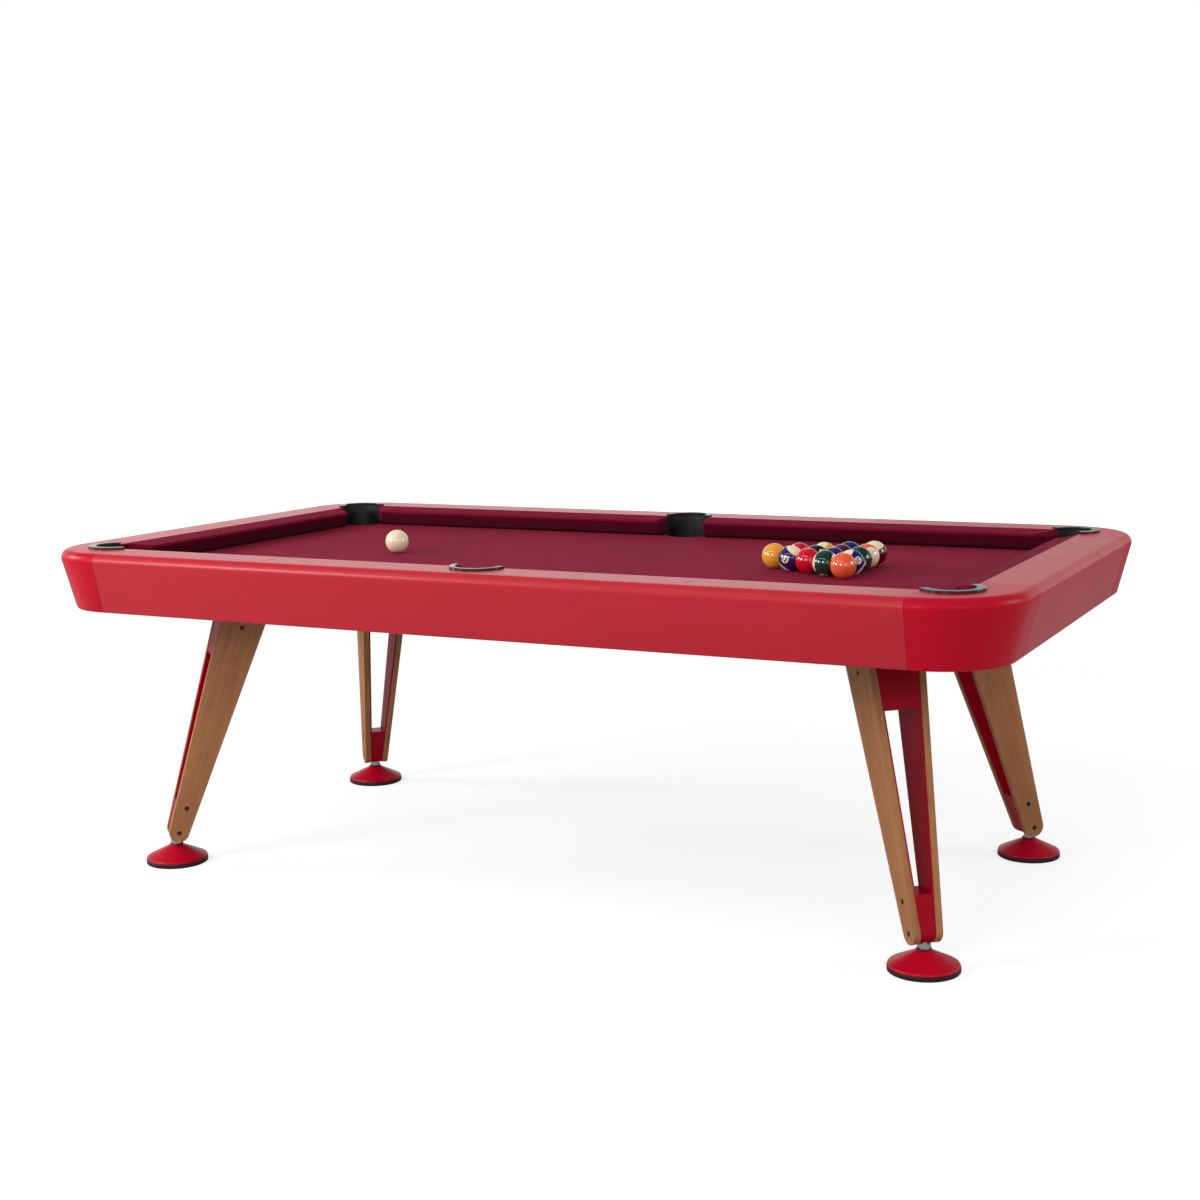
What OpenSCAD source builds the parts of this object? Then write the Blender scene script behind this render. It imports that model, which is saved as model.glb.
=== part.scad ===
// Six-pocket pool table on four splayed legs, with its balls set out.
// Millimetres. +X runs along the table, +Y across it, +Z up. Z = 0 is the floor.

/* [Playing area] */
// Length of the playing area between the cushion noses
play_l = 1980; // [1960:5:2000]
// Width of the playing area between the cushion noses
play_w = 990; // [980:5:1000]
// Height of the cloth above the floor
bed_h = 734; // [732:1:736]
// Thickness of the slate
slate_t = 22; // [19:1:24]
// Thickness of the cloth laid over the slate
cloth_t = 1; // [0.8:0.1:1.5]
// How far the slate reaches out beyond the cushion backs
slate_over = 55; // [52:1:60]

/* [Rails] */
// Height of the flat rail top above the floor
rail_top = 783; // [781:1:785]
// Height of the rail casing
rail_h = 140; // [136:1:144]
// Width of the casing, from the cushion back to its widest line
rail_w = 115; // [112:1:120]
// Radius of the round along the top outer edge
edge_r = 20; // [14:1:24]
// Radius of the round along the bottom outer edge
foot_edge_r = 5; // [5:0.5:8]
// How far the outer face leans in, in degrees
rail_lean = 14.5; // [10:0.5:16]
// Thickness of the casing metal
wall = 4; // [3:0.5:4.5]
// Width of the lip turned in along the bottom of the casing
lip_w = 30; // [20:1:35]
// Depth of a cushion, from its nose to its back
cushion_d = 50; // [48:1:52]

/* [Corners] */
// Radius of the table's corners at their widest line
corner_r = 182; // [176:1:188]
// Distance along X from the table's end to the seam in the long rail
seam_from_end = 194; // [189:1:195]
// Distance along Y from the table's side to the seam in the short rail
seam_from_side = 244; // [238:1:250]
// Width of each seam
seam_gap = 0.6; // [0.3:0.1:1]

/* [Pockets] */
// Inner radius of a corner pocket's cup
corner_pocket_r = 50; // [48:1:51]
// Inner radius of a side pocket's cup
side_pocket_r = 55; // [52:1:56]
// How far a corner pocket's centre lies outside the playing area, along X and Y
corner_pocket_out = 22.5; // [21:0.5:24]
// How far a side pocket's centre lies outside the playing area
side_pocket_out = 57; // [56:1:60]
// Distance from the playing area's corner to the nose tip of a long rail's cushion
long_tip = 63; // [60:1:70]
// Distance from the playing area's corner to the nose tip of an end rail's cushion
short_tip = 81; // [76:1:84]
// How far a long rail's cushion flares behind its nose tip at a corner pocket
long_flare = 46; // [40:1:50]
// How far an end rail's cushion flares behind its nose tip at a corner pocket
short_flare = 32; // [28:1:40]
// Width of the mouth between the cushion noses at a side pocket
side_mouth = 130; // [126:1:134]
// Thickness of a pocket liner
liner_t = 3.5; // [2.5:0.5:4]
// Height of the underside of the pocket cups above the floor
cup_base = 650; // [650:1:668]
// Inner radius of the trim ring around a corner pocket
corner_ring_r = 45.5; // [45:0.5:47]
// Width of the trim ring around a corner pocket
corner_ring_w = 18; // [16:1:20]
// Inner radius of the trim ring around a side pocket
side_ring_r = 47.5; // [47:0.5:49]
// Width of the trim ring around a side pocket
side_ring_w = 13; // [13:1:16]
// Height of the trim rings above the rail top
ring_h = 5; // [4:0.5:7]

/* [Legs] */
// Distance along X from the table's centre to a foot's axis
foot_x = 942; // [935:1:950]
// Distance along Y from the table's centre to a foot's axis
foot_y = 438; // [430:1:445]
// Thickness of a wooden slab
slab_t = 15; // [14:0.5:15.5]
// Thickness of the steel side plate behind each slab
plate_t = 4; // [3:0.5:4]
// Lean of each slab away from the leg's centre plane, in degrees
vee = 3.46; // [3.2:0.02:3.8]
// Half width of the leg over its slabs, at floor level
vee_base = 27.6; // [27.2:0.1:29]
// Height of the window's lower edge above the floor
window_low = 155; // [145:1:170]
// Height of the window's upper edge above the floor
window_high = 511; // [480:1:530]

/* [Feet] */
// Diameter of a foot
foot_d = 148; // [140:1:155]
// Thickness of the rubber pad under a foot
pad_t = 10; // [8:0.5:11]
// Diameter of the threaded stud
stud_d = 16; // [14:1:16]
// Radial clearance of the stud in its bore
stud_play = 0.06; // [0.02:0.01:0.1]

/* [Balls] */
// Diameter of a ball
ball_d = 57.15; // [57.10:0.01:57.20]
// Clearance between neighbouring balls in the rack
ball_gap = 0.3; // [0.3:0.1:0.6]
// Place of the cue ball along X
cue_x = -525; // [-600:1:-400]
// Place of the cue ball along Y
cue_y = -51; // [-200:1:200]
// Place of the rack's leading ball along X
rack_x = 459; // [440:1:500]
// Place of the rack's leading ball along Y
rack_y = -10; // [-40:1:40]
// Turn of the rack about its leading ball, in degrees
rack_turn = 1.2; // [-3:0.1:3]

/* [Hidden] */
$fn = 96;
SIDES = [-1, 1];
CORNERS = ["front_left", "front_right", "back_left", "back_right"];
SIGNS = [[-1, -1], [1, -1], [-1, 1], [1, 1]];
BALLS = 15;

// Colours
paint_red = [0.72, 0.16, 0.18];
paint_foot = [0.66, 0.06, 0.13];
cloth_red = [0.50, 0.15, 0.22];
cushion_red = [0.42, 0.10, 0.18];
oak_brown = [0.53, 0.36, 0.22];
near_black = [0.07, 0.07, 0.08];
slate_grey = [0.38, 0.40, 0.42];
steel_grey = [0.72, 0.72, 0.72];
rubber_grey = [0.20, 0.19, 0.18];
pine = [0.78, 0.62, 0.42];
ivory = [0.92, 0.89, 0.80];
yellow = [0.93, 0.62, 0.16];
blue = [0.10, 0.13, 0.45];
red = [0.80, 0.08, 0.18];
purple = [0.22, 0.08, 0.40];
orange = [0.93, 0.36, 0.22];
green = [0.06, 0.23, 0.16];
maroon = [0.36, 0.05, 0.09];
black = [0.04, 0.04, 0.05];
// Balls 1 to 7, then 8, then 9 to 15, which repeat the first seven colours as stripes
SOLIDS = [yellow, blue, red, purple, orange, green, maroon];
BALL_COLOURS = concat(SOLIDS, [black], SOLIDS);

// Half sizes, measured from the table's centre
play_x = play_l / 2;
play_y = play_w / 2;
back_x = play_x + cushion_d;
back_y = play_y + cushion_d;
wide_x = back_x + rail_w;
wide_y = back_y + rail_w;
seam_x = wide_x - seam_from_end;
seam_y = wide_y - seam_from_side;
corner_cx = wide_x - corner_r;
corner_cy = wide_y - corner_r;
pocket_cx = play_x + corner_pocket_out;
pocket_cy = play_y + corner_pocket_out;
side_cy = play_y + side_pocket_out;
slate_x = back_x + slate_over;
slate_y = back_y + slate_over;
far = 3000;

// Heights
rail_base = rail_top - rail_h;
flange_base = rail_top - wall;
slate_top = bed_h - cloth_t;
slate_base = slate_top - slate_t;

// Clearance between fixed pieces that lie against each other
fit = 0.2;

// Points along an arc round [x, y] from angle a0 to a1, in n steps
function arc(x, y, r, a0, a1, n) =
    [for (k = [0 : n]) let (a = a0 + (a1 - a0) * k / n) [x + r * cos(a), y + r * sin(a)]];

// Puts a piece drawn at the back right at the corner or side with these signs
module at_corner(s) {
    mirror([s.x < 0 ? 1 : 0, 0, 0]) mirror([0, s.y < 0 ? 1 : 0, 0]) children();
}

// ---------- Rail casing ----------

edge_steps = 12;
foot_edge_steps = 4;
foot_edge_y = rail_base + foot_edge_r;
foot_edge_x = (edge_r - foot_edge_r - edge_r * cos(rail_lean)
    - (rail_top - edge_r - foot_edge_y) * sin(rail_lean)) / cos(rail_lean);

// The bent sheet: top flange, round, leaning face and bottom lip.
// x runs outward from the widest line (x = 0), y is height, depth is the flange's width.
module casing_section(depth) {
    lip_end = foot_edge_x - lip_w;
    edge_y = rail_top - edge_r;
    polygon(concat(
        [[-depth, rail_top]],
        arc(-edge_r, edge_y, edge_r, 90, -rail_lean, edge_steps),
        arc(foot_edge_x, foot_edge_y, foot_edge_r, -rail_lean, -90, foot_edge_steps),
        [[lip_end, rail_base], [lip_end, rail_base + wall]],
        arc(foot_edge_x, foot_edge_y, foot_edge_r - wall, -90, -rail_lean, foot_edge_steps),
        arc(-edge_r, edge_y, edge_r - wall, -rail_lean, 90, edge_steps),
        [[-depth, flange_base]]));
}

// A straight stretch of casing along X, at the back of the table
module casing_along_x(x0, x1, depth) {
    translate([x0, wide_y, 0]) rotate([90, 0, 90]) linear_extrude(x1 - x0)
        casing_section(depth);
}

// A straight stretch of casing along Y, at the right end of the table
module casing_along_y(y0, y1, depth) {
    translate([wide_x, y1, 0]) rotate([90, 0, 0]) linear_extrude(y1 - y0)
        casing_section(depth);
}

// The space of the bed, out to the backs of the cushions
module bed_space() {
    translate([-back_x, -back_y, rail_base - 1]) cube([2 * back_x, 2 * back_y, rail_h + 2]);
}

// Opens the top flange round the cup of a pocket at [x, y]
module flange_hole(x, y, r) {
    translate([x, y, flange_base - 1]) cylinder(r = r + liner_t + fit, h = wall + 2);
}

// Sight marks: thin inlays across the rail tops, half way between the pockets
sight_x = pocket_cx / 2;
long_sight_in = 36;
short_sight_in = 27;
sight_l = 38;
sight_w = 2.4;
sight_deep = 1.2;
sight_recess = 0.15;
slot_play = 0.05;

// grow widens the mark into the slot that takes it
module long_rail_sight(side, grow, lift) {
    translate([side * sight_x - sight_w / 2 - grow, back_y + long_sight_in - grow,
               rail_top - sight_deep - grow])
        cube([sight_w + 2 * grow, sight_l + 2 * grow, sight_deep + grow + lift]);
}

module short_rail_sight(grow, lift) {
    translate([back_x + short_sight_in - grow, -sight_w / 2 - grow, rail_top - sight_deep - grow])
        cube([sight_l + 2 * grow, sight_w + 2 * grow, sight_deep + grow + lift]);
}

module long_rail() {
    color(paint_red) difference() {
        casing_along_x(-seam_x + seam_gap / 2, seam_x - seam_gap / 2, rail_w);
        flange_hole(0, side_cy, side_pocket_r);
        for (side = SIDES) long_rail_sight(side, slot_play, 1);
    }
}

module short_rail() {
    color(paint_red) difference() {
        casing_along_y(-seam_y + seam_gap / 2, seam_y - seam_gap / 2, rail_w);
        short_rail_sight(slot_play, 1);
    }
}

// Casting at the back right corner, with a short straight arm along each rail
module corner_casting() {
    color(paint_red) difference() {
        union() {
            translate([corner_cx, corner_cy, 0]) rotate_extrude(angle = 90)
                translate([corner_r, 0]) casing_section(corner_r);
            casing_along_x(seam_x + seam_gap / 2, corner_cx, corner_r);
            casing_along_y(seam_y + seam_gap / 2, corner_cy, corner_r);
        }
        bed_space();
        flange_hole(pocket_cx, pocket_cy, corner_pocket_r);
    }
}

module sight_marks() {
    color(rubber_grey) {
        for (sy = SIDES, side = SIDES) at_corner([1, sy]) long_rail_sight(side, 0, -sight_recess);
        for (sx = SIDES) at_corner([sx, 1]) short_rail_sight(0, -sight_recess);
    }
}

// ---------- Cushions ----------

cushion_base = bed_h + 0.3;
cushion_back_top = rail_top - 0.6;
nose_top = bed_h + 41.5;
nose_high = bed_h + 39;
nose_low = bed_h + 35.5;
nose_under = [1.2, bed_h + 33];
heel = 16;
cover_t = 1.5;
side_flare = cushion_d * tan(7);
long_x0 = side_mouth / 2;
long_x1 = play_x - long_tip;
short_x1 = play_y - short_tip;

// Cushion section: x runs from the nose (0) back to the rail, y is height
module cushion_section(skin) {
    polygon([
        [cushion_d - fit - skin, cushion_base + skin], [heel + skin, cushion_base + skin],
        nose_under + [skin, 0], [skin, nose_low], [skin, nose_high - skin],
        [2 + skin, nose_top - skin], [cushion_d - fit - skin, cushion_back_top - skin]]);
}

// A cushion along X with its nose at y = 0, from x0 to x1, its ends flaring by f0 and f1
module cushion_solid(x0, x1, f0, f1, skin) {
    intersection() {
        translate([x0 - f0, 0, 0]) rotate([90, 0, 90])
            linear_extrude(x1 - x0 + f0 + f1) cushion_section(skin);
        linear_extrude(far) polygon([
            [x0 + skin, 0], [x1 - skin, 0],
            [x1 + f1 - skin, cushion_d], [x0 - f0 + skin, cushion_d]]);
    }
}

module long_cushion_solid(skin) {
    translate([0, play_y, 0])
        cushion_solid(long_x0, long_x1, side_flare, long_flare, skin);
}

module short_cushion_solid(skin) {
    translate([play_x, 0, 0]) rotate([0, 0, -90])
        cushion_solid(-short_x1, short_x1, short_flare, short_flare, skin);
}

// The cloth covers are hollow around their rubbers
module long_cushion() {
    color(cushion_red) difference() {
        long_cushion_solid(0);
        long_cushion_solid(cover_t);
    }
}

module short_cushion() {
    color(cushion_red) difference() {
        short_cushion_solid(0);
        short_cushion_solid(cover_t);
    }
}

module cushion_rubbers() {
    color(rubber_grey) {
        for (s = SIGNS) at_corner(s) long_cushion_solid(cover_t);
        for (sx = SIDES) at_corner([sx, 1]) short_cushion_solid(cover_t);
    }
}

// Wooden backings inside the casings, behind each cushion
backing_w = 50;
backing_from_pocket = 74;
backing_from_seam = 8;

module cushion_backings() {
    high = flange_base - fit - bed_h;
    short_half = seam_y - backing_from_seam;
    color(pine) {
        for (s = SIGNS) at_corner(s) translate([long_x0, back_y + fit, bed_h])
            cube([pocket_cx - backing_from_pocket - long_x0, backing_w, high]);
        for (sx = SIDES) at_corner([sx, 1]) translate([back_x + fit, -short_half, bed_h])
            cube([backing_w, 2 * short_half, high]);
    }
}

// ---------- Bed ----------

// Clearance of the slate around each pocket cup
cup_play = 0.5;
slate_joint = 0.4;

// Direction from a corner pocket's centre to where its round cut ends, under the rails
cut_end = 55;

// Plan of the slate and the cloth, open at the pockets
module bed_plan() {
    corner_cut = corner_pocket_r + liner_t + cup_play;
    near = corner_cut * cos(cut_end);
    wide = corner_cut * sin(cut_end);
    side_cut = side_pocket_r + liner_t + cup_play;
    difference() {
        square([2 * slate_x, 2 * slate_y], center = true);
        for (s = SIGNS) at_corner(s) {
            translate([pocket_cx, pocket_cy]) circle(corner_cut);
            translate([pocket_cx - wide, pocket_cy + near]) square(far);
            translate([pocket_cx + near, pocket_cy - wide]) square(far);
        }
        for (sy = SIDES) at_corner([1, sy]) {
            translate([0, side_cy]) circle(side_cut);
            translate([-side_cut, side_cy]) square([2 * side_cut, far]);
        }
    }
}

// Three slabs of stone side by side
module slate() {
    third = 2 * slate_x / 3;
    color(slate_grey) for (k = [-1 : 1])
        translate([0, 0, slate_base]) linear_extrude(slate_t) intersection() {
            bed_plan();
            translate([k * third, 0]) square([third - slate_joint, far], center = true);
        }
}

module bed_cloth() {
    color(cloth_red) translate([0, 0, slate_top]) linear_extrude(cloth_t) bed_plan();
}

// ---------- Pockets ----------

// A cup with a floor, as high as the rail top. Above the bed its wall stands only outside
// the cushion backs.
module pocket_cup(x, y, r) {
    clear = fit + 0.1;
    color(near_black) difference() {
        translate([x, y, cup_base]) cylinder(r = r + liner_t, h = rail_top - fit - cup_base);
        translate([x, y, cup_base + liner_t]) cylinder(r = r, h = rail_h);
        translate([-back_x - clear, -back_y - clear, slate_top - cup_play])
            cube([2 * (back_x + clear), 2 * (back_y + clear), rail_h]);
    }
}

module corner_pocket_cups() {
    for (s = SIGNS) at_corner(s) pocket_cup(pocket_cx, pocket_cy, corner_pocket_r);
}

module side_pocket_cups() {
    for (sy = SIDES) at_corner([1, sy]) pocket_cup(0, side_cy, side_pocket_r);
}

// Flat bar with rounded edges bent round a pocket, from angle a0 to angle a1
module trim_ring(r, w, a0, a1) {
    round_r = min(ring_h, w) * 0.3;
    steps = 4;
    color(near_black) rotate([0, 0, a0]) rotate_extrude(angle = a1 - a0)
        translate([r, rail_top]) polygon(concat(
            [[0, 0], [w, 0]],
            arc(w - round_r, ring_h - round_r, round_r, 0, 90, steps),
            arc(round_r, ring_h - round_r, round_r, 90, 180, steps)));
}

// The rings stop where they meet the backs of the cushions
module pocket_trims() {
    corner_end = asin((back_y - pocket_cy) / (corner_ring_r + corner_ring_w / 2));
    side_end = asin((back_y - side_cy) / (side_ring_r + side_ring_w / 2));
    for (s = SIGNS) at_corner(s) translate([pocket_cx, pocket_cy, 0])
        trim_ring(corner_ring_r, corner_ring_w, -90 + corner_end, 180 - corner_end);
    for (sy = SIDES) at_corner([1, sy]) translate([0, side_cy, 0])
        trim_ring(side_ring_r, side_ring_w, side_end, 180 - side_end);
}

// ---------- Bed frame ----------

frame_wall = 3;
tube_h = 40;
tube_w = 60;
tube_base = slate_base - tube_h;
beam_y = 297;
BAR_XS = [-801, -300, 300, 801];
weld = 0.3;

// A rectangular steel tube of length l along X
module tube_x(l) {
    difference() {
        cube([l, tube_w, tube_h], center = true);
        cube([l + 2, tube_w - 2 * frame_wall, tube_h - 2 * frame_wall], center = true);
    }
}

// Two long beams under the slate, with bars across between them and out to the sides
module bed_frame() {
    inner_bar = 2 * beam_y - tube_w - 2 * weld;
    outer_bar = slate_y - beam_y - tube_w / 2 - weld;
    color(near_black) translate([0, 0, tube_base + tube_h / 2]) {
        for (sy = SIDES) translate([0, sy * beam_y, 0]) tube_x(2 * slate_x);
        for (x = BAR_XS) translate([x, 0, 0]) rotate([0, 0, 90]) tube_x(inner_bar);
        for (x = BAR_XS, sy = SIDES) translate([x, sy * (slate_y - outer_bar / 2), 0])
            rotate([0, 0, 90]) tube_x(outer_bar);
    }
}

// ---------- Legs ----------
// In a leg's own frame x runs outward from the foot's axis, along a line at 45 degrees
// to the table's sides, y runs across the leg and z up.

flange_t = 8;
flange_half = 70;
flange_margin = 8;
leg_top = tube_base - flange_t;
leg_base = 58;
toe = [-5, 78];
toe_r = 24;
top_outer = [-140.5, leg_top];
top_inner = [-262, leg_top];
plate_inset = 1.5;
stud_bore_top = 106;
// A hair that lets an outline's straight edges cross its round instead of touching it
nip = 0.02;

// Stands a piece drawn in the leg's frame at its foot
module at_leg(s) {
    translate([s.x * foot_x, s.y * foot_y, 0]) rotate([0, 0, atan2(s.y, s.x)]) children();
}

// Where the tangent from p touches the circle round c, on the side given by turn
function touch(p, c, r, turn) =
    let (to_p = p - c, a = atan2(to_p.y, to_p.x), b = acos(r / norm(to_p)))
    c + r * [cos(a + turn * b), sin(a + turn * b)];

// Side view of a leg: wide at the top, tapering to a round toe
module leg_outline(inset) {
    r = toe_r - inset;
    outer = top_outer - [inset, 0];
    inner = top_inner + [inset, 0];
    polygon([outer, inner, touch(inner, toe, r - nip, 1), touch(outer, toe, r - nip, -1)]);
    translate(toe) circle(r);
}

// Raises a side view on one side's leaning plane, from depth d0 to depth d1 behind its face
module on_side(side, d0, d1) {
    mirror([0, side < 0 ? 1 : 0, 0]) translate([0, vee_base, 0]) rotate([-vee, 0, 0])
        translate([0, -d0, 0]) rotate([90, 0, 0]) linear_extrude(d1 - d0) children();
}

// Half the space between the side plates at height z
function half_gap(z) = vee_base + z * tan(vee) - (slab_t + plate_t) / cos(vee);

// Screws, each as [along the leg, up]
SCREWS = [[-174, 579], [-25, 138], [-5, 77]];
screw_head_r = 5.6;
screw_head_h = 5;
screw_hex_r = 3;
screw_shank_r = 4;
screw_sunk = 0.6;
screw_end = slab_t + plate_t + 3;

module screw_circles(r) {
    for (p = SCREWS) translate(p) circle(r);
}

module leg_slabs() {
    color(oak_brown) for (side = SIDES) difference() {
        on_side(side, 0, slab_t) leg_outline(0);
        on_side(side, -1, screw_sunk + screw_head_h + fit) screw_circles(screw_head_r + fit);
        on_side(side, 0, slab_t + 1) screw_circles(screw_shank_r + fit);
        translate([-400, -200, leg_top - 1 - fit]) cube([600, 400, 40]);
    }
}

// The wedge between the side plates, from height low to height high
module between_plates(low, high) {
    weld_in = 0.5;
    g0 = half_gap(low) + weld_in;
    g1 = half_gap(high) + weld_in;
    translate([-400, 0, 0]) rotate([90, 0, 90]) linear_extrude(600)
        polygon([[-g0, low], [g0, low], [g1, high], [-g1, high]]);
}

// A side view carried right across the leg
module across_leg() {
    rotate([90, 0, 0]) translate([0, 0, -100]) linear_extrude(200) children();
}

// The steel core: two side plates, a folded box between them at the top, a block at the
// toe with the stud's bore, and the flange bolted under the bed frame
module leg_core() {
    color(paint_foot) difference() {
        union() {
            for (side = SIDES) on_side(side, slab_t, slab_t + plate_t) leg_outline(plate_inset);
            intersection() {
                across_leg() difference() {
                    leg_outline(plate_inset);
                    leg_outline(plate_inset + plate_t);
                }
                between_plates(window_high, leg_top);
            }
            intersection() {
                across_leg() leg_outline(plate_inset);
                between_plates(leg_base, window_low);
            }
            translate([top_inner.x - flange_margin, -flange_half, leg_top - 1])
                cube([top_outer.x - top_inner.x + 2 * flange_margin, 2 * flange_half, flange_t + 1]);
        }
        translate([-200, -100, 0]) cube([400, 200, leg_base]);
        translate([0, 0, leg_base - 1])
            cylinder(r = stud_d / 2 + stud_play, h = stud_bore_top - leg_base + 1);
        for (side = SIDES) on_side(side, slab_t - 1, screw_end + fit)
            screw_circles(screw_shank_r + fit);
    }
}

// Six cap screws in each leg
module leg_screws() {
    color(near_black) for (s = SIGNS) at_leg(s) for (side = SIDES) difference() {
        union() {
            on_side(side, screw_sunk, screw_sunk + screw_head_h) screw_circles(screw_head_r);
            on_side(side, screw_sunk + 1, screw_end) screw_circles(screw_shank_r);
        }
        on_side(side, -1, screw_sunk + 3) for (p = SCREWS) translate(p) circle(screw_hex_r, $fn = 6);
    }
}

// ---------- Feet ----------

foot_r = foot_d / 2;
cone_top_r = 14.5;
cone_top = 44;
cone_t = 5;
rim_r = 4;
rim_steps = 5;
boss_r = 14;
stud_base = 13;
collar_r = 16;
collar_top = 46;
nut_h = 11.7;
nut_af = 24;
stud_top = 104;
pad_chamfer = 2;

// Threaded stud with its hexagon lock nut
module foot_stud() {
    color(steel_grey) {
        translate([0, 0, stud_base]) cylinder(d = stud_d, h = stud_top - stud_base);
        translate([0, 0, collar_top]) cylinder(r = nut_af / sqrt(3), h = nut_h, $fn = 6);
    }
}

// Cast bell of the foot, hollow underneath, with a boss round the stud
module foot_cone() {
    rim_x = foot_r - 1 - rim_r;
    rim_y = pad_t + 2;
    slope = atan2(cone_top - rim_y - rim_r, rim_x - cone_top_r);
    under_drop = cone_t / cos(slope);
    under_x = rim_x - 3;
    under_y = max(pad_t + 0.5, cone_top - (under_x - cone_top_r) * tan(slope) - under_drop);
    color(paint_foot) rotate_extrude() polygon(concat(
        [[stud_d / 2, cone_top], [cone_top_r, cone_top]],
        arc(rim_x, rim_y, rim_r, 90 - slope, 0, rim_steps),
        [[foot_r - 1, pad_t], [under_x, pad_t], [under_x, under_y]],
        [[boss_r, cone_top - under_drop], [boss_r, stud_base], [stud_d / 2, stud_base]]));
}

// Rubber pad under the foot, and the rubber collar above its bell
module foot_pad() {
    color(rubber_grey) {
        rotate_extrude() polygon([
            [0, 0], [foot_r - pad_chamfer, 0], [foot_r, pad_chamfer], [foot_r, pad_t], [0, pad_t]]);
        translate([0, 0, cone_top]) rotate_extrude() translate([stud_d / 2, 0])
            square([collar_r - stud_d / 2, collar_top - cone_top]);
    }
}

// ---------- Balls ----------

ball_lift = 0.1;
ball_z = bed_h + ball_lift + ball_d / 2;
ball_pitch = ball_d + ball_gap;
// The rack's rows from its leading ball back, each from the front of the table to the back
RACK = [[1], [12, 11], [3, 8, 9], [14, 4, 7, 2], [5, 10, 6, 13, 15]];

module cue_ball() {
    color(ivory) translate([cue_x, cue_y, ball_z]) sphere(d = ball_d);
}

module ball(n) {
    color(BALL_COLOURS[n - 1]) translate([rack_x, rack_y, ball_z]) rotate([0, 0, rack_turn])
        for (row = [0 : 4], col = [0 : row]) if (RACK[row][col] == n)
            translate([row * ball_pitch * cos(30), (col - row / 2) * ball_pitch, 0])
                sphere(d = ball_d);
}

// ---------- Nodes ----------

at_corner([1, -1]) long_rail();  // rail_front
long_rail();  // rail_back
at_corner([-1, 1]) short_rail();  // rail_left
short_rail();  // rail_right
for (k = [0 : 3])
    at_corner(SIGNS[k]) corner_casting();
for (k = [0 : 3])
    at_corner(SIGNS[k]) long_cushion();
at_corner([-1, 1]) short_cushion();  // cushion_left
short_cushion();  // cushion_right
cushion_rubbers();
cushion_backings();
slate();
bed_cloth();
corner_pocket_cups();
side_pocket_cups();
pocket_trims();
sight_marks();
bed_frame();
leg_screws();
for (k = [0 : 3])
    at_leg(SIGNS[k]) leg_core();
for (k = [0 : 3])
    at_leg(SIGNS[k]) leg_slabs();
for (k = [0 : 3])
    at_leg(SIGNS[k]) foot_stud();
for (k = [0 : 3])
    at_leg(SIGNS[k]) foot_cone();
for (k = [0 : 3])
    at_leg(SIGNS[k]) foot_pad();
cue_ball();
for (n = [1 : BALLS])
    ball(n);
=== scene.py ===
"""Looks of a six-pocket pool table on splayed, wood-clad legs, with its balls set out.

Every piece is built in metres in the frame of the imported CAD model: +X along the table,
+Y across it, +Z up.
"""

import math

import bmesh
import bpy
from mathutils import Matrix, Vector


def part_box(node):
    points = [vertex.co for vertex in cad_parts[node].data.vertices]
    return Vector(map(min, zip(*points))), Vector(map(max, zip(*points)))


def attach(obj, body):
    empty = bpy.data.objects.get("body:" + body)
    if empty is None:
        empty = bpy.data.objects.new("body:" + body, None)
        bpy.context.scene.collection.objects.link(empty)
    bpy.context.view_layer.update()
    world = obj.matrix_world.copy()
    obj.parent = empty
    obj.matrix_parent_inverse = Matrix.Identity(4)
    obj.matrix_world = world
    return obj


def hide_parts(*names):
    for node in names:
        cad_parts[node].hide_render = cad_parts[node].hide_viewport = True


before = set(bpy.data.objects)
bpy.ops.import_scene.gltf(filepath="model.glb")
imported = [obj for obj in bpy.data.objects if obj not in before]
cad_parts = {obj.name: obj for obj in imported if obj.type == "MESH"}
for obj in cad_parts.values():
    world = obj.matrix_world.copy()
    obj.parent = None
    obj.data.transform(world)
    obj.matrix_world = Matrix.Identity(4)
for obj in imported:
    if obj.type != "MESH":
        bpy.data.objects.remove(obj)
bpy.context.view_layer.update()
MM = 0.001

# Each corner with its signs on X and Y
CORNERS = {
    "front_left": (-1, -1),
    "front_right": (1, -1),
    "back_left": (-1, 1),
    "back_right": (1, 1),
}

# ---------- Sizes ----------

# Places read from the CAD model
rail_low, rail_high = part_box("rail_back")
end_low, end_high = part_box("rail_right")
cloth_low, cloth_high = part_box("bed_cloth")
cups_low, cups_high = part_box("corner_pocket_cups")
side_low, side_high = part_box("side_pocket_cups")
ring_low, ring_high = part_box("pocket_trims")
RAIL_TOP = rail_high.z
RAIL_BASE = rail_low.z
BACK_Y = rail_low.y
BACK_X = end_low.x
SEAM_X = rail_high.x
SEAM_Y = end_high.y
BED_Z = cloth_high.z

# Shape of the casings: half their size over the widest line, bends, lean, sheet, lip and joints
WIDE_Y = 660 * MM
WIDE_X = 1155 * MM
EDGE_R = 20 * MM
FOOT_EDGE_R = 5 * MM
LEAN = math.radians(14.5)
WALL = 4 * MM
LIP_W = 30 * MM
CORNER_R = 182 * MM
SEAM_GAP = 0.6 * MM
CASING_EDGE = 0.5 * MM
FINE_EDGE = 0.2 * MM

# Pockets
CORNER_CUP_R = 53.5 * MM
SIDE_CUP_R = 58.5 * MM
CUP_FIT = 0.2 * MM
CLOTH_FIT = 0.05 * MM
POCKET_X = cups_high.x - CORNER_CUP_R
POCKET_Y = cups_high.y - CORNER_CUP_R
SIDE_Y = side_high.y - SIDE_CUP_R
# The round cut in the cloth goes on this many degrees past the line of a corner pocket's centre
CUT_END = 20
# Inner radius and width of the rings
CORNER_RING = (45.5 * MM, 18 * MM)
SIDE_RING = (47.5 * MM, 13 * MM)
RING_H = ring_high.z - RAIL_TOP

# How far a cutter reaches past the piece it cuts
PAST = 10 * MM
ROUND_STEPS = 96

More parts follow.
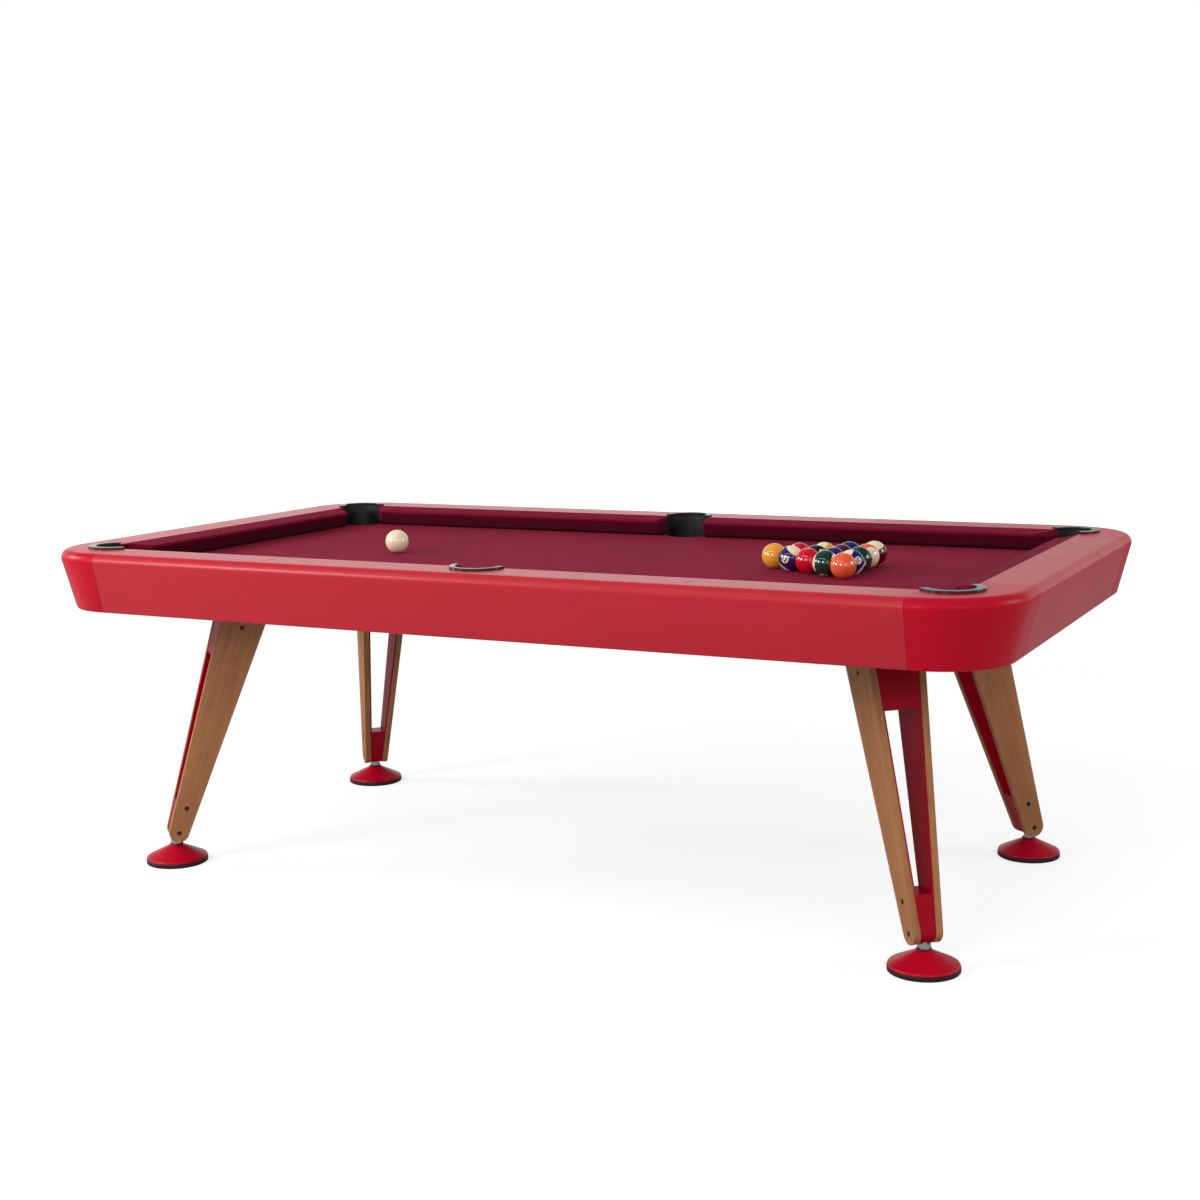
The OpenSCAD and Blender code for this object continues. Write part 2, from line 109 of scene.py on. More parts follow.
# ---------- Mesh helpers ----------


def new_object(name, data):
    obj = bpy.data.objects.new(name, data)
    bpy.context.scene.collection.objects.link(obj)
    return obj


def clean(mesh, same_place=None):
    """Joins points closer than same_place, if given, and turns every face outward."""
    bm = bmesh.new()
    bm.from_mesh(mesh)
    if same_place:
        bmesh.ops.remove_doubles(bm, verts=bm.verts, dist=same_place)
    bmesh.ops.recalc_face_normals(bm, faces=bm.faces)
    bm.to_mesh(mesh)
    bm.free()


def ring_mesh(name, rings, closed=False):
    """A solid's mesh through rings of points; closed joins the last ring to the first, uncapped."""
    size = len(rings[0])
    faces = []
    for i in range(len(rings) if closed else len(rings) - 1):
        j = (i + 1) % len(rings)
        for k in range(size):
            n = (k + 1) % size
            faces.append((i * size + k, i * size + n, j * size + n, j * size + k))
    if not closed:
        faces.append(tuple(range(size))[::-1])
        faces.append(tuple(range((len(rings) - 1) * size, len(rings) * size)))
    mesh = bpy.data.meshes.new(name)
    mesh.from_pydata([tuple(p) for ring in rings for p in ring], [], faces)
    mesh.update()
    clean(mesh)
    return mesh


def arc(x, y, r, a0, a1, steps):
    """Points along an arc, angles in degrees."""
    found = []
    for k in range(steps + 1):
        a = math.radians(a0 + (a1 - a0) * k / steps)
        found.append((x + r * math.cos(a), y + r * math.sin(a)))
    return found


def rounded(points, radii, steps):
    """A closed outline with each corner rounded to its own radius, or as far as its edges allow."""
    found = []
    count = len(points)
    nearly_straight = math.radians(89)
    share = 0.49
    for k, r in enumerate(radii):
        here = Vector(points[k])
        before = Vector(points[k - 1]) - here
        after = Vector(points[(k + 1) % count]) - here
        half = before.angle(after) / 2
        if r <= 0 or half > nearly_straight:
            found.append(tuple(here))
            continue
        back = min(r / math.tan(half), before.length * share, after.length * share)
        r = back * math.tan(half)
        inward = (before.normalized() + after.normalized()).normalized()
        middle = here + inward * (r / math.sin(half))
        start = here + before.normalized() * back - middle
        sweep = start.angle_signed(here + after.normalized() * back - middle)
        for s in range(steps + 1):
            a = -sweep * s / steps
            x = start.x * math.cos(a) - start.y * math.sin(a)
            y = start.x * math.sin(a) + start.y * math.cos(a)
            found.append((middle.x + x, middle.y + y))
    return found


def skin(name, rings, body, material, closed=False):
    """A piece made through rings of points that rides on a body."""
    obj = new_object(name, ring_mesh(name, rings, closed))
    obj.data.materials.append(material)
    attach(obj, body)
    return obj


def lathe(name, profile, centre, body, material, steps=ROUND_STEPS):
    """A solid of revolution about a vertical line, from a closed profile of (radius, height)."""
    rings = []
    for s in range(steps):
        a = 2 * math.pi * s / steps
        ring = [(centre[0] + r * math.cos(a), centre[1] + r * math.sin(a), z) for r, z in profile]
        rings.append(ring)
    obj = skin(name, rings, body, material, closed=True)
    clean(obj.data, same_place=1e-6)
    return obj


def prism_rings(outline, low, high):
    """The lower and the upper ring of a prism of an outline in XY."""
    return [[(x, y, z) for x, y in outline] for z in (low, high)]


def cutter(outline, low, high):
    """A prism to cut with."""
    return new_object("cutter", ring_mesh("cutter", prism_rings(outline, low, high)))


def box_outline(x0, y0, x1, y1):
    return [(x0, y0), (x1, y0), (x1, y1), (x0, y1)]


def bake(obj):
    """Applies every modifier of a piece."""
    graph = bpy.context.evaluated_depsgraph_get()
    mesh = bpy.data.meshes.new_from_object(obj.evaluated_get(graph))
    old = obj.data
    obj.modifiers.clear()
    obj.data = mesh
    bpy.data.meshes.remove(old)


def cut(obj, cutters):
    """Takes the cutters out of a piece, and removes them."""
    for tool in cutters:
        tool.matrix_world = obj.matrix_world @ tool.matrix_world
        mod = obj.modifiers.new("cut", "BOOLEAN")
        mod.operation = "DIFFERENCE"
        mod.solver = "EXACT"
        mod.object = tool
    bake(obj)
    for tool in cutters:
        bpy.data.objects.remove(tool)


def bevel(obj, width, segments, angle):
    """Rounds the edges that turn by more than an angle in degrees, by a modifier."""
    mod = obj.modifiers.new("edges", "BEVEL")
    mod.width = width
    mod.segments = segments
    mod.limit_method = "ANGLE"
    mod.angle_limit = math.radians(angle)
    mod.use_clamp_overlap = True
    return mod


def soften(obj, width, segments=2, angle=32):
    """Rounds a piece's sharp edges and shades it smooth between them."""
    bevel(obj, width, segments, angle).harden_normals = True
    obj.data.shade_smooth()
    obj.data.set_sharp_from_angle(angle=math.radians(angle))


def tidy_cad(node, width):
    """Merges a CAD node's flat faces and rounds its edges, and leaves its own mesh as it is."""
    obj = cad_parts[node]
    merge = obj.modifiers.new("merge", "DECIMATE")
    merge.decimate_type = "DISSOLVE"
    merge.angle_limit = math.radians(1)
    bevel(obj, width, 2, 35)


# ---------- Materials ----------


def linear(value):
    """An sRGB channel from 0 to 255 as linear light."""
    c = value / 255
    return c / 12.92 if c <= 0.04045 else ((c + 0.055) / 1.055) ** 2.4


def rgb(r, g, b):
    return (linear(r), linear(g), linear(b), 1.0)


def tinted(colour, factor, lift=0.0):
    """A colour made darker or lighter."""
    return tuple(min(1.0, c * factor + lift) for c in colour[:3]) + (1.0,)


class Surface:
    """A node material with a Principled shader, and short calls for the nodes that feed it."""

    def __init__(self, name, colour, roughness, **inputs):
        self.material = bpy.data.materials.new(name)
        self.material.use_nodes = True
        self.tree = self.material.node_tree
        self.shader = self.tree.nodes["Principled BSDF"]
        self.shader.inputs["Base Color"].default_value = colour
        self.shader.inputs["Roughness"].default_value = roughness
        for key, value in inputs.items():
            self.shader.inputs[key.replace("_", " ")].default_value = value

    def node(self, kind, **settings):
        made = self.tree.nodes.new(kind)
        for key, value in settings.items():
            if hasattr(made, key):
                setattr(made, key, value)
            else:
                made.inputs[key.replace("_", " ")].default_value = value
        return made

    def link(self, source, target):
        self.tree.links.new(source, target)

    def coords(self, scale=(1, 1, 1)):
        """The piece's own coordinates; a small scale draws a pattern out along that axis."""
        place = self.node("ShaderNodeTexCoord")
        mapping = self.node("ShaderNodeMapping")
        mapping.inputs["Scale"].default_value = scale
        self.link(place.outputs["Object"], mapping.inputs["Vector"])
        return mapping.outputs["Vector"]

    def noise(self, vector, scale, detail=3.0, rough=0.5):
        made = self.node("ShaderNodeTexNoise", Scale=scale, Detail=detail, Roughness=rough)
        self.link(vector, made.inputs["Vector"])
        return made.outputs["Fac"]

    def ramp(self, factor, stops):
        made = self.node("ShaderNodeValToRGB")
        line = made.color_ramp
        while len(line.elements) < len(stops):
            line.elements.new(0.5)
        for element, (place, colour) in zip(line.elements, stops):
            element.position = place
            element.color = colour
        self.link(factor, made.inputs["Fac"])
        return made.outputs["Color"]

    def remap(self, factor, low, high, start=0.0, end=1.0):
        """Takes start to low and end to high, and holds these beyond."""
        made = self.node("ShaderNodeMapRange")
        made.inputs["From Min"].default_value = start
        made.inputs["From Max"].default_value = end
        made.inputs["To Min"].default_value = low
        made.inputs["To Max"].default_value = high
        self.link(factor, made.inputs["Value"])
        return made.outputs["Result"]

    def vary(self, noise, low, high):
        """Spreads the middle of a noise from low to high."""
        return self.remap(noise, low, high, 0.3, 0.7)

    def math(self, operation, a, b=None):
        made = self.node("ShaderNodeMath", operation=operation)
        for socket, value in zip(made.inputs, (a, b)):
            if value is None:
                continue
            if isinstance(value, (int, float)):
                socket.default_value = value
            else:
                self.link(value, socket)
        return made.outputs["Value"]

    def mix(self, factor, a, b, blend="MIX"):
        made = self.node("ShaderNodeMix", data_type="RGBA", blend_type=blend)
        for socket, value in ((made.inputs[0], factor), (made.inputs[6], a), (made.inputs[7], b)):
            if isinstance(value, (int, float, tuple)):
                socket.default_value = value
            else:
                self.link(value, socket)
        return made.outputs[2]

    def times(self, colour, factor):
        """A colour times a number."""
        grey = self.node("ShaderNodeCombineColor")
        for channel in ("Red", "Green", "Blue"):
            self.link(factor, grey.inputs[channel])
        return self.mix(1.0, colour, grey.outputs["Color"], "MULTIPLY")

    def bump(self, height, strength, distance):
        made = self.node("ShaderNodeBump", Strength=strength, Distance=distance)
        self.link(height, made.inputs["Height"])
        self.link(made.outputs["Normal"], self.shader.inputs["Normal"])

    def colour(self, source):
        self.link(source, self.shader.inputs["Base Color"])

    def rough(self, source):
        self.link(source, self.shader.inputs["Roughness"])


def paint(name, colour, roughness, specular):
    """Powder-coated metal: a fine orange peel and very slight clouding of colour and gloss."""
    s = Surface(name, colour, roughness, Specular_IOR_Level=specular)
    where = s.coords()
    cloud = s.noise(where, 5, 4)
    s.colour(s.mix(s.vary(cloud, 0, 1), tinted(colour, 0.97), tinted(colour, 1.03)))
    s.rough(s.vary(s.noise(where, 300, 2), roughness - 0.02, roughness + 0.02))
    s.bump(s.noise(where, 900, 2), 0.25, 0.02 * MM)
    return s.material


def wood(name, light, middle, dark):
    """Oiled wood, grain along the piece's own Z: soft streaks, long fibres and short dark pores."""
    s = Surface(name, middle, 0.5, Specular_IOR_Level=0.3)
    streaks = s.noise(s.coords((1, 1, 0.04)), 55, 4, 0.65)
    patches = s.noise(s.coords((1, 1, 0.25)), 14, 3)
    fibres = s.noise(s.coords((1, 1, 0.018)), 420, 4, 0.6)
    pores = s.noise(s.coords((1, 1, 0.05)), 900, 2, 0.5)
    tone = s.math("ADD", s.math("MULTIPLY", streaks, 0.5), s.math("MULTIPLY", patches, 0.5))
    base = s.ramp(tone, [(0.3, dark), (0.5, middle), (0.7, light)])
    fibre = s.remap(fibres, 0.86, 1.1, 0.35, 0.65)
    pore = s.remap(pores, 0.0, 0.55, 0.62, 0.72)
    s.colour(s.mix(pore, s.times(base, fibre), tinted(dark, 0.35)))
    s.rough(s.vary(fibres, 0.46, 0.6))
    s.bump(s.math("SUBTRACT", fibres, s.math("MULTIPLY", pore, 0.8)), 0.35, 0.12 * MM)
    return s.material


# Painted shade on the cushion cloth: the share of its colour kept under a cushion's nose and in the
# crease along the bed, and the heights over the bed between which each painted shade fades
NOSE_SHADE = 0.42
NOSE_FADE = (33 * MM, 37 * MM)
CREASE_SHADE = 0.25
CREASE_FADE = (4 * MM, 9 * MM)


def cloth(name, colour, sheen, painted_shade=False):
    """Napped worsted cloth: fine crossed threads, a soft nap and faint clouding.

    With painted_shade, shade is painted into the colour: darker below a cushion's nose, and darker
    still in the crease along the bed.
    """
    s = Surface(name, colour, 0.92, Specular_IOR_Level=0.12)
    s.shader.inputs["Sheen Weight"].default_value = sheen
    s.shader.inputs["Sheen Roughness"].default_value = 0.45
    s.shader.inputs["Sheen Tint"].default_value = tinted(colour, 2, 0.12)
    where = s.coords()
    threads = []
    for direction in ("X", "Y"):
        wave = s.node("ShaderNodeTexWave", wave_type="BANDS", bands_direction=direction)
        wave.inputs["Scale"].default_value = 420
        wave.inputs["Distortion"].default_value = 1.5
        wave.inputs["Detail"].default_value = 1
        s.link(where, wave.inputs["Vector"])
        threads.append(wave.outputs["Fac"])
    nap = s.noise(where, 700, 3, 0.7)
    cloud = s.noise(where, 3, 3)
    height = s.math("ADD", s.math("MULTIPLY", threads[0], threads[1]), nap)
    tone = s.mix(s.vary(cloud, 0, 1), tinted(colour, 0.9), tinted(colour, 1.08))
    fleck = s.remap(nap, 0.86, 1.14, 0.35, 0.65)
    # Painted shade: the colour is darkened below the nose and darker still in the crease where the
    # cushion meets the bed
    if painted_shade:
        split = s.node("ShaderNodeSeparateXYZ")
        s.link(where, split.inputs["Vector"])
        z = split.outputs["Z"]
        under = s.remap(z, NOSE_SHADE, 1.0, BED_Z + NOSE_FADE[0], BED_Z + NOSE_FADE[1])
        crease = s.remap(z, CREASE_SHADE, 1.0, BED_Z + CREASE_FADE[0], BED_Z + CREASE_FADE[1])
        fleck = s.math("MULTIPLY", fleck, s.math("MULTIPLY", under, crease))
    s.colour(s.times(tone, fleck))
    s.bump(height, 0.5, 0.15 * MM)
    return s.material


def rubber(name, colour, roughness):
    """Rubber with a little pale dust."""
    s = Surface(name, colour, roughness, Specular_IOR_Level=0.4)
    where = s.coords()
    dust = s.noise(where, 60, 4, 0.6)
    s.colour(s.mix(s.remap(dust, 0, 0.5, 0.5, 0.75), colour, tinted(colour, 1.7, 0.004)))
    s.rough(s.vary(dust, roughness - 0.08, roughness + 0.1))
    s.bump(s.noise(where, 1200, 2), 0.3, 0.03 * MM)
    return s.material


def moulded(name, colour, roughness, grain=0.35):
    """Black moulded plastic with a fine leather-like grain."""
    s = Surface(name, colour, roughness, Specular_IOR_Level=0.5)
    where = s.coords()
    cells = s.node("ShaderNodeTexVoronoi", Scale=650)
    s.link(where, cells.inputs["Vector"])
    cloud = s.noise(where, 25, 3)
    s.rough(s.vary(cloud, roughness - 0.06, roughness + 0.08))
    s.colour(s.mix(s.remap(cloud, 0, 0.4, 0.4, 0.7), colour, tinted(colour, 1.5)))
    s.bump(cells.outputs["Distance"], grain, 0.05 * MM)
    return s.material


def metal(name, colour, roughness):
    """Turned bright steel with fine rings."""
    s = Surface(name, colour, roughness, Metallic=1.0)
    fine = s.noise(s.coords((1, 1, 60)), 60, 3)
    s.rough(s.vary(fine, roughness - 0.07, roughness + 0.1))
    s.bump(fine, 0.12, 0.02 * MM)
    return s.material


def stone(name, colour):
    """Sawn slate, in faint level layers."""
    s = Surface(name, colour, 0.7)
    where = s.coords((1, 1, 6))
    layers = s.noise(where, 14, 6, 0.6)
    s.colour(s.mix(s.remap(layers, 0, 1, 0.35, 0.65), tinted(colour, 0.75), tinted(colour, 1.25)))
    s.bump(s.noise(where, 200, 4), 0.3, 0.2 * MM)
    return s.material


RAIL_RED = paint("rail_paint", rgb(187, 33, 46), 0.34, 0.27)
CAST_RED = paint("cast_paint", rgb(188, 10, 38), 0.32, 0.1)
LEG_RED = paint("leg_paint", rgb(166, 0, 30), 0.34, 0.12)
FOOT_RED = paint("foot_paint", rgb(184, 0, 34), 0.36, 0.2)
FRAME_BLACK = paint("frame_paint", rgb(28, 28, 30), 0.45, 0.4)
SLAB_WOOD = wood("slab_wood", rgb(191, 132, 86), rgb(174, 116, 74), rgb(148, 95, 58))
PINE = wood("backing_wood", rgb(224, 196, 150), rgb(206, 174, 124), rgb(176, 140, 92))
BED_CLOTH = cloth("bed_cloth", rgb(132, 8, 47), 0.07)
# The cushions wear the bed's cloth; this copy is painted a little darker as painted shade, on top of
# the painted shade under the nose
CUSHION_CLOTH = cloth("cushion_cloth", rgb(122, 6, 44), 0.05, painted_shade=True)
CUP_BLACK = moulded("pocket_cup", rgb(20, 20, 22), 0.5)
RING_BLACK = moulded("ring_black", rgb(20, 21, 22), 0.24, 0.1)
MARK_BLACK = moulded("sight_black", rgb(16, 3, 5), 0.9, 0.1)
SCREW_BLACK = paint("screw_black", rgb(18, 18, 20), 0.35, 0.5)
FOOT_RUBBER = rubber("foot_rubber", rgb(20, 20, 22), 0.45)
CUSHION_RUBBER = rubber("cushion_rubber", rgb(60, 56, 52), 0.6)
STEEL = metal("bright_steel", rgb(196, 196, 196), 0.28)
SLATE = stone("slate", rgb(96, 100, 104))

# ---------- Camera, floor and light ----------

CAMERA_PLACE = (1.94036, -3.83819, 1.27740)
CAMERA_YAW = math.radians(26.692)
CAMERA_PITCH = math.radians(-8.482)
CAMERA_ROLL = math.radians(-0.890)
CAMERA_LENS = 54.594
SENSOR = 36.0

# The floor's reach, its grey as light meets it and as the camera sees it, and its glow for the
# camera, which grows from this share to full between two distances
FLOOR_REACH = 60
FLOOR_DULL = 0.5
FLOOR_SHADE = 0.42
FLOOR_GLOW = 0.72
GLOW_FROM = 3.0
GLOW_FULL = 8.0

# White of the studio as light, and as mirrored from low to high over the skyline
SKY = 0.5
GLEAM_LOW = 0.95
GLEAM_HIGH = 0.08
GLEAM_FROM = 0.05
GLEAM_TO = 0.7

# Large lights, each as its name, place, target, size and power
LARGE_LIGHTS = (
    ("overhead", (-0.8, 0.6, 3.6), (0, 0, 0.7), (3.0, 1.6), 4),
    ("strip", (-0.6, -2.6, 3.6), (-0.2, -0.5, 0.7), (4.6, 0.5), 22),
    ("back", (-4.8, 7.0, 2.0), (0, 0, 0.9), (6.5, 2.6), 30),
)

# Soft boxes round the front, each as its direction in degrees and its power
LAMPS = ((-165, 45), (-130, 60), (-84, 26), (-42, 10), (14, 26))
LAMP_REACH = 4.0
LAMP_Z = 2.0
LAMP_SIZE = 0.9
LAMP_TARGET = (0.2, 0, 0.76)


def make_camera():
    data = bpy.data.cameras.new("camera")
    data.lens = CAMERA_LENS
    data.sensor_width = SENSOR
    data.clip_start = 0.05
    data.clip_end = 200
    camera = new_object("camera", data)
    level = math.cos(CAMERA_PITCH)
    left_turn, ahead_turn = math.sin(CAMERA_YAW), math.cos(CAMERA_YAW)
    ahead = Vector((-left_turn * level, ahead_turn * level, math.sin(CAMERA_PITCH)))
    right = Vector((ahead_turn, left_turn, 0))
    up = right.cross(ahead)
    side = right * math.cos(CAMERA_ROLL) + up * math.sin(CAMERA_ROLL)
    top = up * math.cos(CAMERA_ROLL) - right * math.sin(CAMERA_ROLL)
    turn = Matrix((side, top, -ahead)).transposed().to_4x4()
    camera.matrix_world = Matrix.Translation(CAMERA_PLACE) @ turn
    bpy.context.scene.camera = camera


def make_floor():
    """A white floor. It glows for the camera only, more farther out, so that shadows stay faint."""
    mesh = bpy.data.meshes.new("floor")
    outline = box_outline(-FLOOR_REACH, -FLOOR_REACH, FLOOR_REACH, FLOOR_REACH)
    mesh.from_pydata([(x, y, 0) for x, y in outline], [], [(0, 1, 2, 3)])
    floor = new_object("floor", mesh)
    dull = (FLOOR_DULL, FLOOR_DULL, FLOOR_DULL, 1)
    s = Surface("floor", dull, 1.0, Specular_IOR_Level=0.0)
    seen = s.node("ShaderNodeLightPath").outputs["Is Camera Ray"]
    s.colour(s.mix(seen, dull, (FLOOR_SHADE, FLOOR_SHADE, FLOOR_SHADE, 1)))
    far = s.node("ShaderNodeVectorMath", operation="LENGTH")
    s.link(s.coords(), far.inputs[0])
    glow = s.remap(far.outputs["Value"], FLOOR_GLOW, 1.0, GLOW_FROM, GLOW_FULL)
    s.shader.inputs["Emission Color"].default_value = (1, 1, 1, 1)
    s.link(s.math("MULTIPLY", seen, glow), s.shader.inputs["Emission Strength"])
    mesh.materials.append(s.material)


def area_light(name, place, target, size, power):
    data = bpy.data.lights.new(name, "AREA")
    data.shape = "RECTANGLE"
    data.size, data.size_y = size
    data.energy = power
    light = new_object(name, data)
    light.location = place
    light.rotation_mode = "QUATERNION"
    light.rotation_quaternion = (Vector(target) - Vector(place)).to_track_quat("-Z", "Y")


def make_world():
    """White to the camera, a softer white as light, and as mirrored white low and dark overhead."""
    world = bpy.data.worlds.new("studio")
    world.use_nodes = True
    tree = world.node_tree
    back = tree.nodes["Background"]
    back.inputs["Color"].default_value = (1, 1, 1, 1)
    seen = tree.nodes.new("ShaderNodeLightPath")
    where = tree.nodes.new("ShaderNodeTexCoord")
    split = tree.nodes.new("ShaderNodeSeparateXYZ")
    tree.links.new(where.outputs["Generated"], split.inputs["Vector"])
    gleam = tree.nodes.new("ShaderNodeMapRange")
    gleam.inputs["From Min"].default_value = GLEAM_FROM
    gleam.inputs["From Max"].default_value = GLEAM_TO
    gleam.inputs["To Min"].default_value = GLEAM_LOW
    gleam.inputs["To Max"].default_value = GLEAM_HIGH
    tree.links.new(split.outputs["Z"], gleam.inputs["Value"])
    level = SKY
    for ray, strength in (("Is Glossy Ray", gleam.outputs["Result"]), ("Is Camera Ray", 1.0)):
        pick = tree.nodes.new("ShaderNodeMapRange")
        for socket, value in (("To Min", level), ("To Max", strength)):
            if isinstance(value, float):
                pick.inputs[socket].default_value = value
            else:
                tree.links.new(value, pick.inputs[socket])
        tree.links.new(seen.outputs[ray], pick.inputs["Value"])
        level = pick.outputs["Result"]
    tree.links.new(level, back.inputs["Strength"])
    bpy.context.scene.world = world


def make_stage():
    make_camera()
    make_floor()
    make_world()
    for light in LARGE_LIGHTS:
        area_light(*light)
    for k, (azimuth, power) in enumerate(LAMPS):
        a = math.radians(azimuth)
        place = (LAMP_REACH * math.cos(a), LAMP_REACH * math.sin(a), LAMP_Z)
        area_light("lamp_%d" % (k + 1), place, LAMP_TARGET, (LAMP_SIZE, LAMP_SIZE), power)
    bpy.context.scene.view_settings.view_transform = "Standard"


# ---------- Rail casings ----------

EDGE_STEPS = 16
FOOT_STEPS = 6


def casing_section(depth):
    """Closed section of the bent sheet as (outward, height), the widest line at 0."""
    edge_y = RAIL_TOP - EDGE_R
    foot_y = RAIL_BASE + FOOT_EDGE_R
    foot_x = EDGE_R - FOOT_EDGE_R - EDGE_R * math.cos(LEAN) - (edge_y - foot_y) * math.sin(LEAN)
    foot_x /= math.cos(LEAN)
    lean = math.degrees(LEAN)
    lip = foot_x - LIP_W
    return (
        [(-depth, RAIL_TOP)]
        + arc(-EDGE_R, edge_y, EDGE_R, 90, -lean, EDGE_STEPS)
        + arc(foot_x, foot_y, FOOT_EDGE_R, -lean, -90, FOOT_STEPS)
        + [(lip, RAIL_BASE), (lip, RAIL_BASE + WALL)]
        + arc(foot_x, foot_y, FOOT_EDGE_R - WALL, -90, -lean, FOOT_STEPS)
        + arc(-EDGE_R, edge_y, EDGE_R - WALL, -lean, 90, EDGE_STEPS)
        + [(-depth, RAIL_TOP - WALL)]
    )


def circle(x, y, r, steps=ROUND_STEPS):
    return arc(x, y, r, 0, 360 - 360 / steps, steps - 1)


def flange_tool(x, y, r):
    """Cuts a round opening in the flange on top of a casing."""
    return cutter(circle(x, y, r), RAIL_TOP - 2 * WALL, RAIL_TOP + PAST)


# The slots that hold the sight marks: their place, half width, length, depth and play
SIGHT_X = POCKET_X / 2
LONG_SIGHT_IN = 36 * MM
SHORT_SIGHT_IN = 27 * MM
SIGHT_L = 38 * MM
SIGHT_HALF = 1.2 * MM
SIGHT_DEEP = 1.3 * MM
SIGHT_FIT = 0.1 * MM


def sight_slot(x0, y0, x1, y1):
    outline = box_outline(x0 - SIGHT_FIT, y0 - SIGHT_FIT, x1 + SIGHT_FIT, y1 + SIGHT_FIT)
    return cutter(outline, RAIL_TOP - SIGHT_DEEP, RAIL_TOP + PAST)


def long_rail(name, side):
    section = casing_section(WIDE_Y - BACK_Y)
    rings = [[(x, side * (WIDE_Y + u), z) for u, z in section] for x in (-SEAM_X, SEAM_X)]
    rail = skin(name, rings, "table", RAIL_RED)
    tools = [flange_tool(0, side * SIDE_Y, SIDE_CUP_R + CUP_FIT)]
    for s in (-1, 1):
        near = BACK_Y + LONG_SIGHT_IN
        y0, y1 = sorted((side * near, side * (near + SIGHT_L)))
        tools.append(sight_slot(s * SIGHT_X - SIGHT_HALF, y0, s * SIGHT_X + SIGHT_HALF, y1))
    cut(rail, tools)
    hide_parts(name)
    soften(rail, CASING_EDGE)


def short_rail(name, side):
    section = casing_section(WIDE_X - BACK_X)
    rings = [[(side * (WIDE_X + u), y, z) for u, z in section] for y in (-SEAM_Y, SEAM_Y)]
    rail = skin(name, rings, "table", RAIL_RED)
    near = BACK_X + SHORT_SIGHT_IN
    x0, x1 = sorted((side * near, side * (near + SIGHT_L)))
    cut(rail, [sight_slot(x0, -SIGHT_HALF, x1, SIGHT_HALF)])
    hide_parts(name)
    soften(rail, CASING_EDGE)


def corner_casting(name, sx, sy):
    """The round corner with a short arm along each rail, open over its pocket."""
    least_r = 2 * MM
    section = casing_section(CORNER_R - least_r)
    cx, cy = WIDE_X - CORNER_R, WIDE_Y - CORNER_R
    steps = 36
    stations = [(SEAM_X + SEAM_GAP, cy, 90)]
    stations += [(cx, cy, 90 - 90 * k / steps) for k in range(steps + 1)]
    stations += [(cx, SEAM_Y + SEAM_GAP, 0)]
    rings = []
    for x, y, degrees in stations:
        a = math.radians(degrees)
        ring = []
        for u, z in section:
            r = CORNER_R + u
            ring.append((sx * (x + r * math.cos(a)), sy * (y + r * math.sin(a)), z))
        rings.append(ring)
    casting = skin(name, rings, "table", CAST_RED)
    bed = cutter(box_outline(-BACK_X, -BACK_Y, BACK_X, BACK_Y), RAIL_BASE - PAST, RAIL_TOP + PAST)
    cut(casting, [bed, flange_tool(sx * POCKET_X, sy * POCKET_Y, CORNER_CUP_R + CUP_FIT)])
    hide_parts(name)
    soften(casting, CASING_EDGE)


def make_casings():
    long_rail("rail_front", -1)
    long_rail("rail_back", 1)
    short_rail("rail_left", -1)
    short_rail("rail_right", 1)
    for corner, (sx, sy) in CORNERS.items():
        corner_casting("corner_" + corner, sx, sy)


def make_trims():
    """Flat black rings on the rail tops, with rounded edges."""
    spots = [(sx * POCKET_X, sy * POCKET_Y, CORNER_RING, sx, sy) for sx, sy in CORNERS.values()]
    spots += [(0, sy * SIDE_Y, SIDE_RING, 0, sy) for sy in (-1, 1)]
    edge_r = 0.8 * MM
    for k, (x, y, (inner, width), sx, sy) in enumerate(spots):
        # A ring ends where its middle line meets the rails' inner edges
        end = math.degrees(math.asin((BACK_Y - abs(y)) / (inner + width / 2)))
        a0, a1 = (-90 + end if sx else end), 180 - end
        section = rounded(
            [(inner, 0), (inner + width, 0), (inner + width, RING_H), (inner, RING_H)],
            [0, 0, edge_r, edge_r],
            4,
        )
        rings = []
        for s in range(ROUND_STEPS + 1):
            a = math.radians(a0 + (a1 - a0) * s / ROUND_STEPS)
            along, across = (sx or 1) * math.cos(a), sy * math.sin(a)
            rings.append([(x + along * r, y + across * r, RAIL_TOP + z) for r, z in section])
        trim = skin("pocket_trim_%d" % (k + 1), rings, "table", RING_BLACK)
        soften(trim, 0.6 * MM, 2, 40)
        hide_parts("pocket_trims")


# ---------- Cushions and cloth ----------

# From the nose back to the rail, and back to the cover's end; the nose's drop below the rail top
CUSHION_W = 50 * MM
COVER_W = 49.8 * MM
NOSE_DROP = 6.9 * MM
# How far the noses end from the corners of the bed, and from the middle of a side pocket
LONG_TIP = 63 * MM
SHORT_TIP = 81 * MM
SIDE_TIP = 65 * MM
# How much farther a cushion's end reaches at its back
LONG_FLARE = 46 * MM
SHORT_FLARE = 32 * MM
SIDE_FLARE = CUSHION_W * math.tan(math.radians(7))


def cushion_outline(depth, base, nose_top, back_top):
    """Closed section as (distance back from the nose, height), from below the nose and round."""
    points = [
        (0.0, nose_top - 6 * MM),
        (1.2 * MM, base + 32.5 * MM),
        (16 * MM, base),  # undercut foot
        (depth, base),
        (depth, back_top),
        (depth - 3 * MM, back_top),  # flat edge beside the rail
        (2 * MM, nose_top),
        (0.0, nose_top - 2 * MM),
    ]
    radii = [2 * MM, 3 * MM, 2.5 * MM, 0, 0, 0, 1.5 * MM, 1.5 * MM]
    return rounded(points, radii, 4)


